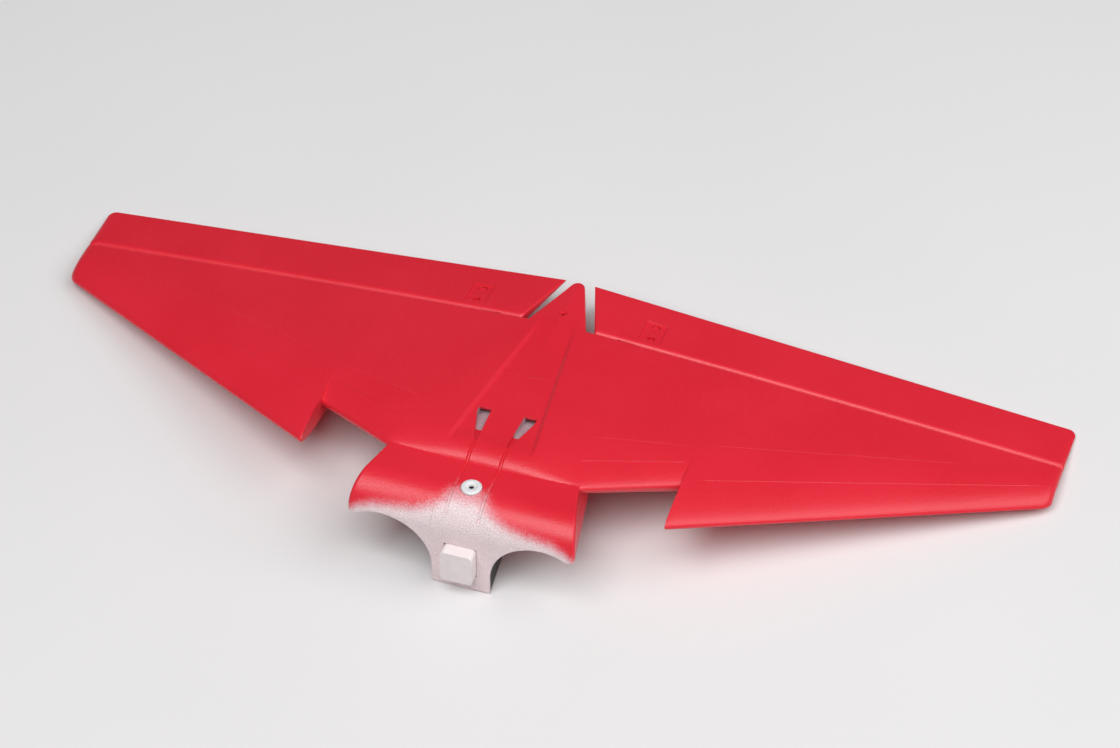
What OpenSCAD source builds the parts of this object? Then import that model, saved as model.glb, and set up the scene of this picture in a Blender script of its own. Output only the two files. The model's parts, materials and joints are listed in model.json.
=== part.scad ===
// One-piece moulded foam wing of a small radio-controlled jet, with ailerons, linkages and fittings.
// Frame: millimetres, nose towards -Y, +Z up, X = 0 is the mid-plane.
// The origin is on the axis of the rear wing screw, just under the top skin.
// Shapes are drawn in a frame whose origin is where the mid-plane meets the aileron hinge line.

/* [Wing plan] */
// Distance from the mid-plane to the wing tip
half_span = 341; // [337:1:345]
// Half width of the straight centre section at its leading edge
centre_half = 64; // [62:1:66]
// Distance of the centre section's leading edge ahead of the hinge line
centre_chord_front = 143.5; // [142:0.5:145]
// Distance of the sawtooth step from the mid-plane
tooth_x = 122; // [120:1:124]
// Leading edge of the inner panel where it meets the sawtooth, ahead of the hinge line
inner_front = 113.5; // [112:0.5:115]
// Leading edge of the outer panel at the sawtooth, ahead of the hinge line
tooth_front = 149.5; // [148:0.5:151]
// Leading edge at the tip, ahead of the hinge line
tip_front = 27; // [26:0.5:28]
// Trailing edge behind the hinge line at the root
root_rear = 46; // [45:0.5:47]
// Trailing edge behind the hinge line at the tip
tip_rear = 43.5; // [43:0.5:44.5]
// Thickness of the trailing edge
edge_t = 1.4; // [1.2:0.1:1.8]

/* [Front body] */
// Radius of the roll-over from the top plate to the front face
nose_r = 22; // [21:0.5:23]
// Height of the top plate above the origin
plate_z = 1.5; // [1:0.25:2]
// Position of the front face ahead of the hinge line
face_front = 187.5; // [187:0.5:188]
// Half width of the keel between the ducts
keel_half = 19.5; // [18.5:0.1:19.5]
// Depth of the keel below the origin at the front face
keel_depth = 66; // [65:0.5:69]
// Slope of the keel's bottom, rising towards the tail
keel_slope = 22; // [20:1:24]
// Radius of the half-round duct tunnels
duct_r = 34; // [33.5:0.1:34.5]
// Depth of each tunnel's centre below the origin
duct_depth = 52.5; // [52:0.5:53]

/* [Ailerons] */
// Inner end of the hinge line, from the mid-plane
hinge_x = 25; // [24.5:0.5:26]
// Gap between the wing's rear face and the hinge axis
hinge_gap = 0.8; // [0.7:0.1:1]
// Angle of the V-shaped aileron nose from the vertical, on each side
bevel = 30; // [29:1:32]
// Height of the horn's pivot below the hinge axis, and length of the servo arm
arm_r = 12; // [11.5:0.5:12.5]
// Distance of the servo shaft ahead of the hinge axis
servo_front = 38; // [37:0.5:39]
// Distance of the linkage from the inner end of the hinge line
linkage_u = 36; // [35:0.5:37]

/* [Fittings] */
// Radius of the hole for the front wing bolt
front_bolt_r = 1.75; // [1.6:0.05:1.9]
// Radius of the hole for the rear wing screw
rear_bolt_r = 1.6; // [1.5:0.05:1.7]
// Outer radius of the front bolt's washer
washer_r = 6.75; // [6.5:0.25:7]
// Width of the locating peg
peg_w = 21.5; // [21:0.5:22]
// Height of the locating peg
peg_h = 23.5; // [23:0.5:24]
// How far the locating peg stands out of the front face
peg_out = 8.5; // [8:0.5:9]
// Outer radius of the main spar tubes
spar_r = 3; // [2.8:0.1:3]

/* [Hidden] */

paint_red = [0.80, 0.10, 0.15];
foam_white = [0.92, 0.88, 0.87];
carbon = [0.10, 0.10, 0.11];
nylon_white = [0.93, 0.93, 0.92];
plastic_black = [0.08, 0.08, 0.09];
steel = [0.72, 0.73, 0.75];
brass = [0.85, 0.72, 0.35];
aluminium = [0.80, 0.81, 0.82];

eps = 0.01;        // overlap that joins two shapes into one solid
slack = 0.15;      // clearance around a fitting that sits in foam
run = 0.05;        // radial clearance of a turning fit
thin = 0.02;       // thickness of the slices that a loft is drawn between
far = 400;         // longer than any dimension of the wing
smooth = 48;       // sides of a drawn circle

// Height of the hinge axis, and the two tilts that lay it along the wing
hinge_z = -2.2;
hinge_tip_x = 340;
hinge_tip_y = 5.5;
hinge_tip_z = -31.6;
hinge_run = hinge_tip_x - hinge_x;
hinge_sweep = atan(hinge_tip_y / hinge_run);
hinge_len = sqrt(hinge_run * hinge_run + hinge_tip_y * hinge_tip_y);
hinge_droop = atan((hinge_z - hinge_tip_z) / hinge_len);

// Heights that follow the anhedral: top crown, leading edge, lowest line and trailing edge
crown_z = [[0, 7.5], [hinge_x, 7.5], [centre_half, 4.6], [tooth_x, -1.2], [half_span, -27.8]];
belly_z = [[0, -13], [hinge_x, -13], [centre_half, -16], [tooth_x, -21], [half_span, -35.9]];
rear_z = [[0, -0.3], [half_span, -29.9]];
inner_edge_z = [[0, -1], [centre_half, -1], [tooth_x, -6.6]];
outer_edge_z = [[tooth_x, -10.2], [half_span, -35]];

// Where those lines run in plan
crown_y = [[0, -122], [hinge_x, -122], [centre_half, -112], [tooth_x, -86], [half_span, -6]];
belly_y = [[0, -95], [hinge_x, -95], [centre_half, -92], [tooth_x, -85], [half_span, -6]];
rear_y = [[0, root_rear], [half_span, tip_rear]];
inner_edge_y = [[0, -centre_chord_front], [centre_half, -centre_chord_front], [tooth_x, -inner_front]];
outer_edge_y = [[tooth_x, -tooth_front], [half_span, -tip_front]];

// Shape of the section behind its highest and lowest lines
top_power = 1.12;
low_power = 1.2;
nose_steps = 6;
tail_steps = 5;

// Half outline of a section: a quarter ellipse from the leading edge, then a slope to the rear edge
function half_outline(edge, peak, rear, power) = concat(
    [for (i = [0 : nose_steps]) let (a = 90 * i / nose_steps)
        [peak[0] - (peak[0] - edge[0]) * cos(a), edge[1] + (peak[1] - edge[1]) * sin(a)]],
    [for (i = [1 : tail_steps]) let (t = i / tail_steps)
        [peak[0] + (rear[0] - peak[0]) * t, peak[1] + (rear[1] - peak[1]) * pow(t, power)]]);

function reversed(list) = [for (i = [len(list) - 1 : -1 : 0]) list[i]];

// Whole section at distance x from the mid-plane, as points [y, z]
function section(x, edge) = let (
    top = half_outline(edge, [lookup(x, crown_y), lookup(x, crown_z)],
        [lookup(x, rear_y), lookup(x, rear_z)], top_power),
    low = half_outline(edge, [lookup(x, belly_y), lookup(x, belly_z)],
        [lookup(x, rear_y), lookup(x, rear_z) - edge_t], low_power))
    concat(top, reversed(low));

function inner_section(x) = section(x, [lookup(x, inner_edge_y), lookup(x, inner_edge_z)]);
function outer_section(x) = section(x, [lookup(x, outer_edge_y), lookup(x, outer_edge_z)]);

// Section shrunk towards a point, for the rounded tip
function shrunk(points, centre, k) = [for (p = points) centre + (p - centre) * k];

// ---------------------------------------------------------------- placing

// Moves a node from the hinge line's frame to the part's own frame
module placed() {
    translate([0, -rear_bolt_y, 0]) children();
}

// Puts a left-hand piece on the left (side = 1) or mirrors it to the right (side = -1)
module on_side(side) {
    mirror([side < 0 ? 1 : 0, 0, 0]) children();
}

// Frame of the hinge axis: +X out along the axis, +Y to the rear, +Z up, origin at its inner end
module hinge_frame() {
    translate([hinge_x, 0, hinge_z])
        rotate([0, hinge_droop, hinge_sweep])
            children();
}

// Cylinder along +X from the origin
module rod_x(r, length) {
    rotate([0, 90, 0]) cylinder(r = r, h = length, $fn = smooth);
}

// Box given by its low and high corners
module span_box(low, high) {
    translate(low) cube(high - low);
}

// ---------------------------------------------------------------- foam shapes

module slice(x, points) {
    translate([x, 0, 0])
        rotate([90, 0, 90])
            linear_extrude(thin)
                polygon(points);
}

mid_centre = 44;
tip_start = 336;
tip_mid = 339.5;
tip_shrink = [0.97, 0.86];
inner_stations = [0, hinge_x, mid_centre, centre_half, 93, tooth_x];
outer_stations = [tooth_x, 175, 230, 285, tip_start];
tip_centre = [4, -32];

// Left half of the wing before anything is cut from it
module half_blank() {
    for (i = [0 : len(inner_stations) - 2])
        hull() {
            slice(inner_stations[i], inner_section(inner_stations[i]));
            slice(inner_stations[i + 1], inner_section(inner_stations[i + 1]));
        }
    for (i = [0 : len(outer_stations) - 2])
        hull() {
            slice(outer_stations[i], outer_section(outer_stations[i]));
            slice(outer_stations[i + 1], outer_section(outer_stations[i + 1]));
        }
    hull() {
        slice(tip_start, outer_section(tip_start));
        slice(tip_mid, shrunk(outer_section(tip_mid), tip_centre, tip_shrink[0]));
        slice(half_span, shrunk(outer_section(half_span), tip_centre, tip_shrink[1]));
    }
}

// Space behind the hinge line in which the aileron moves, seen along the axis
module aileron_zone(front) {
    hinge_frame()
        translate([-30, 0, 0])
            rotate([90, 0, 90])
                linear_extrude(far)
                    polygon([[-front, -40], [60, -40], [60, 40], [-front, 40]]);
}

// Plan of the rear spike, slightly rounded at its end
spike_half = 20;
spike_end = 45;
spike_tip_r = 5;
module spike_plan() {
    hull() {
        translate([-spike_half, -3]) square([2 * spike_half, 2]);
        translate([0, spike_end - spike_tip_r]) circle(r = spike_tip_r, $fn = 24);
    }
}

// Everything behind the hinge line that is not the spike
module behind_hinge() {
    difference() {
        for (side = [1, -1]) on_side(side) aileron_zone(hinge_gap);
        translate([0, 0, -60]) linear_extrude(120) spike_plan();
    }
}

// Side view of the front body: flat plate, round roll-over and front face
module front_profile(low_front, low_rear, top_rear) {
    arc_z = plate_z - nose_r;
    arc_y = nose_r - face_front;
    polygon(concat(
        [[top_rear[0], plate_z - 3], [-centre_chord_front, plate_z - 0.6]],
        [for (a = [90 : 10 : 180]) [arc_y + nose_r * cos(a), arc_z + nose_r * sin(a)]],
        [[-face_front, -low_front], low_rear, top_rear]));
}

module along_x(half_width) {
    translate([-half_width, 0, 0])
        rotate([90, 0, 90])
            linear_extrude(2 * half_width)
                children();
}

duct_x = keel_half + duct_r;
keel_rear = 130;
arm_low = 22.5;
arm_rear = 150;
body_rear = 112;
body_rear_z = -12;
flare_x = 75.5;

// Plan of the front body, wider at the front face than at the wing
module front_plan() {
    polygon([[-centre_half, -body_rear], [-centre_half, -centre_chord_front],
        [-flare_x, -face_front], [flare_x, -face_front],
        [centre_half, -centre_chord_front], [centre_half, -body_rear]]);
}

module front_body() {
    keel_rear_z = (face_front - keel_rear) * tan(keel_slope) - keel_depth;
    difference() {
        intersection() {
            union() {
                along_x(flare_x)
                    front_profile(arm_low, [-arm_rear, -arm_low], [-body_rear, body_rear_z]);
                along_x(duct_x)
                    front_profile(duct_depth, [-arm_rear, -duct_depth + 12], [-body_rear, body_rear_z]);
            }
            translate([0, 0, -80]) linear_extrude(100) front_plan();
        }
        for (side = [-1, 1]) tunnel(side, duct_r, 200, 60);
    }
    along_x(keel_half)
        front_profile(keel_depth, [-keel_rear, keel_rear_z], [-keel_rear + eps, -10]);
}

// Cylinder of a duct tunnel from its front to its rear end
module tunnel(side, r, front, rear) {
    translate([side * duct_x, -front, -duct_depth])
        rotate([-90, 0, 0])
            cylinder(r = r, h = front - rear, $fn = 96);
}

// ---------------------------------------------------------------- cut-outs in the foam

liner_t = 0.8;
liner_front = 186;
liner_rear = 152;

// Seats that let the duct liners lie flush with the foam
module liner_seat(side) {
    tunnel(side, duct_r + liner_t + 0.1, liner_front + 0.1, liner_rear - 0.1);
    on_side(side)
        span_box([keel_half - liner_t - 0.1, -liner_front - 0.1, -80],
            [keel_half + 1, -liner_rear + 0.1, -duct_depth]);
}

// Lowers the top surface between two lines that close in towards the tail
saddle_depth = 1;
saddle_front = [27.5, 128];
saddle_rear = [12.5, 5];
module saddle_recess() {
    difference() {
        translate([0, 0, -5])
            linear_extrude(20)
                polygon([[-saddle_front[0], -saddle_front[1]], [saddle_front[0], -saddle_front[1]],
                    [saddle_rear[0], -saddle_rear[1]], [-saddle_rear[0], -saddle_rear[1]]]);
        translate([0, 0, -saddle_depth])
            for (side = [1, -1]) on_side(side) hull() {
                slice(0, inner_section(0));
                slice(hinge_x, inner_section(hinge_x));
                slice(mid_centre, inner_section(mid_centre));
            }
    }
}

slot_in = 11.2;
slot_out = 19.7;
slot_rear = 96;
slot_front = 127;
groove_x = 11;
groove_w = 2;
groove_depth = 2.4;
groove_front = 184;

slot_bend = 6;
slot_bend_in = 0.5;
ramp_front_z = 5;
ramp_rear_z = -2;
bridge_low = 3.1;
tunnel_rear = 88;

// Wedge-shaped wire opening, whose floor is a ramp that runs down under a bridge into the bay
module wire_opening() {
    intersection() {
        translate([0, 0, -20])
            linear_extrude(60)
                polygon([[slot_in, -tunnel_rear], [slot_out, -tunnel_rear], [slot_out, -slot_rear],
                    [slot_out - slot_bend_in, -slot_rear - slot_bend],
                    [groove_x + groove_w / 2, -slot_front], [groove_x - groove_w / 2, -slot_front],
                    [slot_in, -slot_rear]]);
        along_x(bay_half)
            polygon([[-slot_front, ramp_front_z], [-bay_front, ramp_rear_z], [-tunnel_rear, ramp_rear_z],
                [-tunnel_rear, bridge_low], [-slot_rear, bridge_low], [-slot_rear, 30],
                [-slot_front, 30]]);
    }
}

// Narrow groove that follows the surface from the wire opening over the front body
module wire_groove() {
    difference() {
        span_box([groove_x - groove_w / 2, -groove_front, -12],
            [groove_x + groove_w / 2, -slot_front + 1, 20]);
        translate([0, 0, -groove_depth]) {
            hull() {
                slice(0, inner_section(0));
                slice(hinge_x, inner_section(hinge_x));
            }
            along_x(flare_x) front_profile(duct_depth, [-body_rear, -duct_depth], [-body_rear, plate_z - 3]);
        }
    }
}

bay_half = 24;
bay_front = 92;
bay_rear = 58;
bay_top = 0.8;

// Bay for the leads' plugs and the spar joiner, open to the underside
module wiring_bay() {
    span_box([-bay_half, -bay_front, -40], [bay_half, -bay_rear, bay_top]);
}

// ---------------------------------------------------------------- spars

spar_front = 66;
spar_in = 3;
spar_out = 215;
spar_root_z = -2;
spar_droop = 4.2;
spar_bore_r = 2;

module spar_frame() {
    translate([0, -spar_front, spar_root_z]) rotate([0, spar_droop, 0]) children();
}

module spar_tube(side) {
    color(carbon)
        on_side(side) spar_frame() translate([spar_in, 0, 0])
            difference() {
                rod_x(spar_r, spar_out - spar_in);
                translate([-1, 0, 0]) rod_x(spar_bore_r, spar_out);
            }
}

module spar_joiner() {
    joiner_half = 42;
    color(aluminium) {
        for (side = [-1, 1]) on_side(side) spar_frame() rod_x(spar_bore_r - run, joiner_half);
        translate([0, -spar_front, spar_root_z]) sphere(r = spar_bore_r - run, $fn = smooth);
    }
}

module spar_channel() {
    spar_frame() translate([-2, 0, 0]) rod_x(spar_r + slack, spar_out + 2 + slack);
}

strip_front = 15;
strip_t = 1.2;
strip_h = 4;
strip_in = 6;
strip_out = 286;
strip_low = -3.2;

module rear_spar(side) {
    color(carbon)
        on_side(side) hinge_frame()
            span_box([strip_in, -strip_front - strip_t / 2, strip_low],
                [strip_out, -strip_front + strip_t / 2, strip_low + strip_h]);
}

module rear_spar_slot() {
    hinge_frame()
        span_box([strip_in - slack, -strip_front - strip_t / 2 - slack, -12],
            [strip_out + slack, -strip_front + strip_t / 2 + slack, strip_low + strip_h + slack]);
}

// ---------------------------------------------------------------- hinges

hinge_places = [22, 150, 285];
hinge_w = 10;
knuckle_r = 1.6;
knuckle_w = 4;
knuckle_gap = 0.2;
pin_r = 0.6;
leaf_t = 1.1;
leaf_reach = 9.5;
leaf_start = 1.0;

module knuckle(u, width) {
    translate([u, 0, 0]) rod_x(knuckle_r, width);
}

// One leaf with its knuckles; direction 1 reaches into the aileron, -1 into the wing
module hinge_leaf(direction, knuckles) {
    near = direction * leaf_start;
    reach = direction * leaf_reach;
    difference() {
        union() {
            span_box([-hinge_w / 2, min(near, reach) + (direction > 0 ? knuckle_r : 0), -leaf_t / 2],
                [hinge_w / 2, max(near, reach) - (direction > 0 ? 0 : knuckle_r), leaf_t / 2]);
            for (k = knuckles) {
                knuckle(k[0], k[1]);
                span_box([k[0], min(near, direction * 3), -leaf_t / 2],
                    [k[0] + k[1], max(near, direction * 3), leaf_t / 2]);
            }
        }
        translate([-hinge_w, 0, 0]) rod_x(pin_r + run, 2 * hinge_w);
    }
}

side_knuckle_w = (hinge_w - knuckle_w) / 2 - knuckle_gap;

module hinge_wing_leaves(side) {
    color(paint_red)
        on_side(side) hinge_frame()
            for (u = hinge_places)
                translate([u, 0, 0]) hinge_leaf(-1, [[-knuckle_w / 2, knuckle_w]]);
}

module hinge_aileron_leaves(side) {
    color(paint_red)
        on_side(side) hinge_frame()
            for (u = hinge_places)
                translate([u, 0, 0])
                    hinge_leaf(1, [[-hinge_w / 2, side_knuckle_w],
                        [hinge_w / 2 - side_knuckle_w, side_knuckle_w]]);
}

module hinge_pins(side) {
    color(steel)
        on_side(side) hinge_frame()
            for (u = hinge_places)
                translate([u - hinge_w / 2 - 0.6, 0, 0]) rod_x(pin_r, hinge_w + 1.2);
}

// Slot and knuckle notch for each hinge in the foam on both sides of the axis
module hinge_seats() {
    notch_r = knuckle_r + 0.7;
    hinge_frame()
        for (u = hinge_places) {
            translate([u - hinge_w / 2 - 1, 0, 0]) rod_x(notch_r, hinge_w + 2);
            span_box([u - hinge_w / 2 - slack, -leaf_reach - slack, -leaf_t / 2 - slack],
                [u + hinge_w / 2 + slack, leaf_reach + slack, leaf_t / 2 + slack]);
        }
}

// ---------------------------------------------------------------- aileron servo and linkage

shaft_w = -1.5;
servo_len = 22.5;
servo_t = 10.5;
servo_h = 21;
shaft_from_end = 5.5;
ear_len = 4.6;
ear_t = 2.4;
ear_from_top = 5;
case_u = 8.5;
arm_t = 1.6;
arm_u = 2.4;
hub_r = 3.2;
hub_h = 4;
shaft_r = 2;
shaft_u = 3.2;
wire_r = 0.75;
link_hole_r = wire_r + run;

module servo_frame() {
    hinge_frame() translate([linkage_u, -servo_front, shaft_w]) children();
}

module servo_case(side) {
    boss_r = 5;
    boss_h = 1.6;
    color(plastic_black)
        on_side(side) servo_frame()
            difference() {
                union() {
                    span_box([case_u, shaft_from_end - servo_len, -servo_t / 2],
                        [case_u + servo_h, shaft_from_end, servo_t / 2]);
                    difference() {
                        span_box([case_u + ear_from_top, shaft_from_end - servo_len - ear_len, -servo_t / 2],
                            [case_u + ear_from_top + ear_t, shaft_from_end + ear_len, servo_t / 2]);
                        for (v = [shaft_from_end - servo_len - ear_len / 2, shaft_from_end + ear_len / 2])
                            translate([case_u, v, 0]) rod_x(1, 10);
                    }
                    translate([case_u - boss_h, 0, 0]) rod_x(boss_r, boss_h + 1);
                }
                translate([case_u - boss_h - 1, 0, 0]) rod_x(shaft_r + run, 6);
            }
}

module servo_shaft(side) {
    color(brass)
        on_side(side) servo_frame()
            difference() {
                translate([shaft_u, 0, 0]) rod_x(shaft_r, 7.5);
                translate([shaft_u - 1, 0, 0]) rod_x(0.95, 5.5);
            }
}

module servo_arm(side) {
    tip_r = 2.2;
    color(nylon_white)
        on_side(side) servo_frame()
            difference() {
                union() {
                    translate([arm_u, 0, 0]) rod_x(hub_r, hub_h);
                    hull() {
                        translate([arm_u, 0, 0]) rod_x(hub_r, arm_t);
                        translate([arm_u, 0, -arm_r]) rod_x(tip_r, arm_t);
                    }
                }
                translate([shaft_u - 0.05, 0, 0]) rod_x(shaft_r + 0.02, 8);
                rod_x(1.05, 8);
                translate([0, 0, -arm_r]) rod_x(link_hole_r, 8);
                translate([0, 0, -arm_r + 3.4]) rod_x(link_hole_r, 8);
            }
}

module arm_screw(side) {
    color(steel)
        on_side(side) servo_frame() {
            difference() {
                translate([arm_u - 1.1, 0, 0]) rod_x(1.8, 1.1);
                span_box([arm_u - 1.3, -1.4, -0.2], [arm_u - 0.7, 1.4, 0.2]);
                span_box([arm_u - 1.3, -0.2, -1.4], [arm_u - 0.7, 0.2, 1.4]);
            }
            translate([arm_u - 0.3, 0, 0]) rod_x(0.9, 4.5);
        }
}

rod_rise = atan(-shaft_w / servo_front);
rod_len = sqrt(shaft_w * shaft_w + servo_front * servo_front);

// Frame along the pushrod: origin at the servo arm's pivot, +Y towards the horn's pivot
module rod_frame() {
    servo_frame() translate([0, 0, -arm_r]) rotate([rod_rise, 0, 0]) children();
}

clevis_back = 9;
module pushrod(side) {
    color(steel)
        on_side(side) rod_frame() {
            rotate([-90, 0, 0]) cylinder(r = wire_r, h = rod_len - clevis_back + 4, $fn = smooth);
            sphere(r = wire_r, $fn = smooth);
            rod_x(wire_r, arm_u + arm_t + 1.4);
        }
}

fork_gap = 1.9;
fork_t = 1.0;
module clevis(side) {
    fork_w = 2.6;
    barrel_r = 2;
    color(plastic_black)
        on_side(side) rod_frame()
            difference() {
                union() {
                    for (s = [-1, 1])
                        span_box([s * (fork_gap + fork_t) / 2 - fork_t / 2, rod_len - clevis_back, -fork_w],
                            [s * (fork_gap + fork_t) / 2 + fork_t / 2, rod_len + 2.4, fork_w]);
                    translate([0, rod_len - clevis_back - 5, 0])
                        rotate([-90, 0, 0]) cylinder(r = barrel_r, h = 7.5, $fn = smooth);
                    translate([-fork_gap / 2 - fork_t, rod_len, 0]) rod_x(wire_r, fork_gap + 2 * fork_t);
                }
                translate([0, rod_len - clevis_back - 6, 0])
                    rotate([-90, 0, 0]) cylinder(r = wire_r + 0.03, h = 10.1, $fn = smooth);
            }
}

horn_t = 1.5;
base_t = 1.4;
base_tilt = 4.3;
base_low = -5.2;
pocket_front = 7;
pocket_len = 19.8;
pocket_w = 15;
pocket_depth = 1.2;
peg_rows = [10.4, 22.6];
horn_peg_r = 2.45;

module horn_base_frame() {
    translate([linkage_u, 0, base_low]) rotate([base_tilt, 0, 0]) children();
}

// Side view of the horn where it meets its base, which lies at a tilt
horn_foot_t = 0.6;
horn_foot_v = [pocket_front + 0.4, pocket_front + 12];
horn_foot_w = [for (v = horn_foot_v) base_low + v * tan(base_tilt) + base_t - horn_foot_t - 0.45];
horn_foot = [[horn_foot_v[0], horn_foot_w[0]], [horn_foot_v[1], horn_foot_w[1]],
    [horn_foot_v[1], horn_foot_w[1] + horn_foot_t], [horn_foot_v[0], horn_foot_w[0] + horn_foot_t]];

module control_horn(side) {
    base_w = 12;
    pivot_r = 2.3;
    color(paint_red)
        on_side(side) hinge_frame() {
            horn_base_frame() {
                span_box([-base_w / 2, pocket_front, 0], [base_w / 2, pocket_front + pocket_len - 1, base_t]);
                for (v = peg_rows)
                    translate([0, v, base_t - eps]) cylinder(r = horn_peg_r, h = 1.8, $fn = smooth);
            }
            difference() {
                translate([linkage_u - horn_t / 2, 0, 0])
                    rotate([90, 0, 90])
                        linear_extrude(horn_t)
                            hull() {
                                translate([0, -arm_r]) circle(r = pivot_r, $fn = smooth);
                                polygon(horn_foot);
                            }
                translate([linkage_u - 5, 0, -arm_r]) rod_x(link_hole_r, 10);
            }
        }
}

// Recess for the horn's base and its two pegs, from below, and the open pocket on top
module horn_seat() {
    hinge_frame() {
        horn_base_frame() {
            span_box([-6 - slack, pocket_front - slack, -8],
                [6 + slack, pocket_front + pocket_len - 1 + slack, base_t + slack]);
            for (v = peg_rows)
                translate([0, v, 0]) cylinder(r = horn_peg_r + slack, h = 14, $fn = 24);
        }
    }
    difference() {
        hinge_frame()
            translate([linkage_u - pocket_w / 2, pocket_front, 0]) cube([pocket_w, pocket_len, 12]);
        translate([0, 0, -pocket_depth]) half_blank();
    }
}

cover_t = 1;
cover_low = -9.2;
cover_top = -6;
cover_u = [-5, 35];
cover_v = [-63, -25];
cover_boss_r = 2.4;
cover_inset = 3;
slot_half = 9.5;
servo_pad = 0.3;
cover_screw_r = 0.85;
cover_pilot_r = 1;
cover_head_r = 1.7;
cover_head_t = 0.9;
cover_corners = [[cover_u[1] - cover_inset, cover_v[0] + cover_inset],
    [cover_u[1] - cover_inset, cover_v[1] - cover_inset],
    [cover_u[0] + cover_inset, cover_v[0] + cover_inset]];

module linkage_frame() {
    hinge_frame() translate([linkage_u, 0, 0]) children();
}

// Shallow tray over the servo, with a slot for the arm and a boss at each screw
module servo_cover(side) {
    color(paint_red)
        on_side(side)
            difference() {
                linkage_frame() {
                    difference() {
                        span_box([cover_u[0], cover_v[0], cover_low], [cover_u[1], cover_v[1], cover_top]);
                        span_box([cover_u[0] + cover_t, cover_v[0] + cover_t, cover_low + cover_t],
                            [cover_u[1] - cover_t, cover_v[1] - cover_t, 0]);
                    }
                    for (p = cover_corners)
                        translate([p[0], p[1], cover_low])
                            cylinder(r = cover_boss_r, h = cover_top - cover_low, $fn = smooth);
                }
                linkage_frame() {
                    span_box([-2.6, -servo_front - slot_half, cover_low - 1],
                        [7.2, -servo_front + slot_half, cover_low + 3]);
                    screw_holes(cover_screw_r + 0.1);
                }
                lead_path(0.4);
            }
}

module screw_holes(r) {
    for (p = cover_corners)
        translate([p[0], p[1], cover_low - 3]) cylinder(r = r, h = 10, $fn = smooth);
}

module cover_screws(side) {
    color(steel)
        on_side(side) linkage_frame()
            for (p = cover_corners)
                translate([p[0], p[1], cover_low]) {
                    translate([0, 0, -cover_head_t])
                        cylinder(r = cover_head_r, h = cover_head_t, $fn = smooth);
                    translate([0, 0, -cover_head_t / 2])
                        cylinder(r = cover_screw_r, h = 7, $fn = smooth);
                }
}

// Room for the servo, its arm and its cover in the wing
module servo_bay() {
    servo_frame() {
        span_box([case_u - 2, shaft_from_end - servo_len - ear_len - servo_pad, -30],
            [case_u + servo_h + servo_pad, shaft_from_end + ear_len + servo_pad, servo_t / 2 + servo_pad]);
        span_box([-3, -slot_half, -30], [case_u + 1, slot_half, hub_r + 0.6]);
    }
    linkage_frame() {
        span_box([cover_u[0] - slack, cover_v[0] - slack, -40],
            [cover_u[1] + slack, cover_v[1] + slack, cover_top + 0.05]);
        screw_holes(cover_pilot_r);
    }
}

// ---------------------------------------------------------------- servo lead

lead_start = [30, -86, -9.5];
lead_droop = 4.3;
lead_w = 3.4;
lead_t = 1.2;
lead_out = 56;
lead_rear = 31.8;
plug_len = 14;
plug_half = 4;
plug_half_t = 1.3;

module lead_frame() {
    translate(lead_start) rotate([0, lead_droop, 0]) children();
}

// Flat three-core lead along the underside, grown by extra on every side
module lead_path(extra) {
    lead_frame() {
        span_box([plug_len - eps, -lead_w / 2 - extra, -lead_t / 2 - extra],
            [lead_out + extra, lead_w / 2 + extra, lead_t / 2 + extra]);
        span_box([lead_out - lead_w - extra, 0, -lead_t / 2 - extra],
            [lead_out + extra, lead_rear, lead_t / 2 + extra]);
    }
}

// Lead from the servo to the edge of the bay, with its plug
module servo_lead(side) {
    color(plastic_black)
        on_side(side) {
            lead_frame() span_box([0, -plug_half, -plug_half_t], [plug_len, plug_half, plug_half_t]);
            lead_path(0);
        }
}

// Channel for the lead and its plug, open to the underside
module lead_channel() {
    lead_frame() {
        span_box([bay_half - lead_start[0] - 1, -plug_half - 0.6, -30],
            [plug_len + 2, plug_half + 0.6, plug_half_t + 0.6]);
        span_box([plug_len, -lead_w / 2 - 0.6, -30], [lead_out + 0.6, lead_w / 2 + 0.6, lead_t / 2 + 0.5]);
        span_box([lead_out - lead_w - 0.6, 0, -30], [lead_out + 0.6, lead_rear + 1, lead_t / 2 + 0.5]);
    }
}

// ---------------------------------------------------------------- centre fittings

front_bolt_y = -165;
rear_bolt_y = 10.4;
tube_r = 3;
tube_top = 0.2;
tube_low = -56.5;

module front_bolt_washer() {
    color(nylon_white)
        translate([0, front_bolt_y, tube_top])
            rotate_extrude($fn = smooth)
                polygon([[front_bolt_r, 0], [washer_r, 0], [washer_r, 1.5], [washer_r - 0.8, 2.1],
                    [washer_r - 2.6, 2.3], [3.2, 1.8], [front_bolt_r, 1.4]]);
}

module front_bolt_tube() {
    color(plastic_black)
        translate([0, front_bolt_y, tube_low])
            difference() {
                cylinder(r = tube_r, h = tube_top - tube_low, $fn = smooth);
                translate([0, 0, -1]) cylinder(r = front_bolt_r, h = 80, $fn = smooth);
            }
}

sleeve_r = 2.6;
sleeve_low = -5.2;
sleeve_top = 0.4;
module rear_bolt_sleeve() {
    color(paint_red)
        translate([0, rear_bolt_y, sleeve_low])
            difference() {
                cylinder(r = sleeve_r, h = sleeve_top - sleeve_low, $fn = smooth);
                translate([0, 0, -1]) cylinder(r = rear_bolt_r, h = 20, $fn = smooth);
            }
}

peg_z = -41.8;
peg_in = 10;
peg_corner = 3;

// Block with rounded edges along Y, reaching into the keel
module peg_block(extra) {
    w = peg_w / 2 + extra;
    h = peg_h / 2 + extra;
    r = peg_corner;
    translate([0, 0, peg_z])
        rotate([90, 0, 0])
            linear_extrude(face_front + peg_out, $fn = smooth)
                union() {
                    translate([-w + r, -h]) square([2 * (w - r), 2 * h]);
                    translate([-w, -h + r]) square([2 * w, 2 * (h - r)]);
                    for (x = [-1, 1], z = [-1, 1])
                        translate([x * (w - r), z * (h - r)]) circle(r = r);
                }
}

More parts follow.
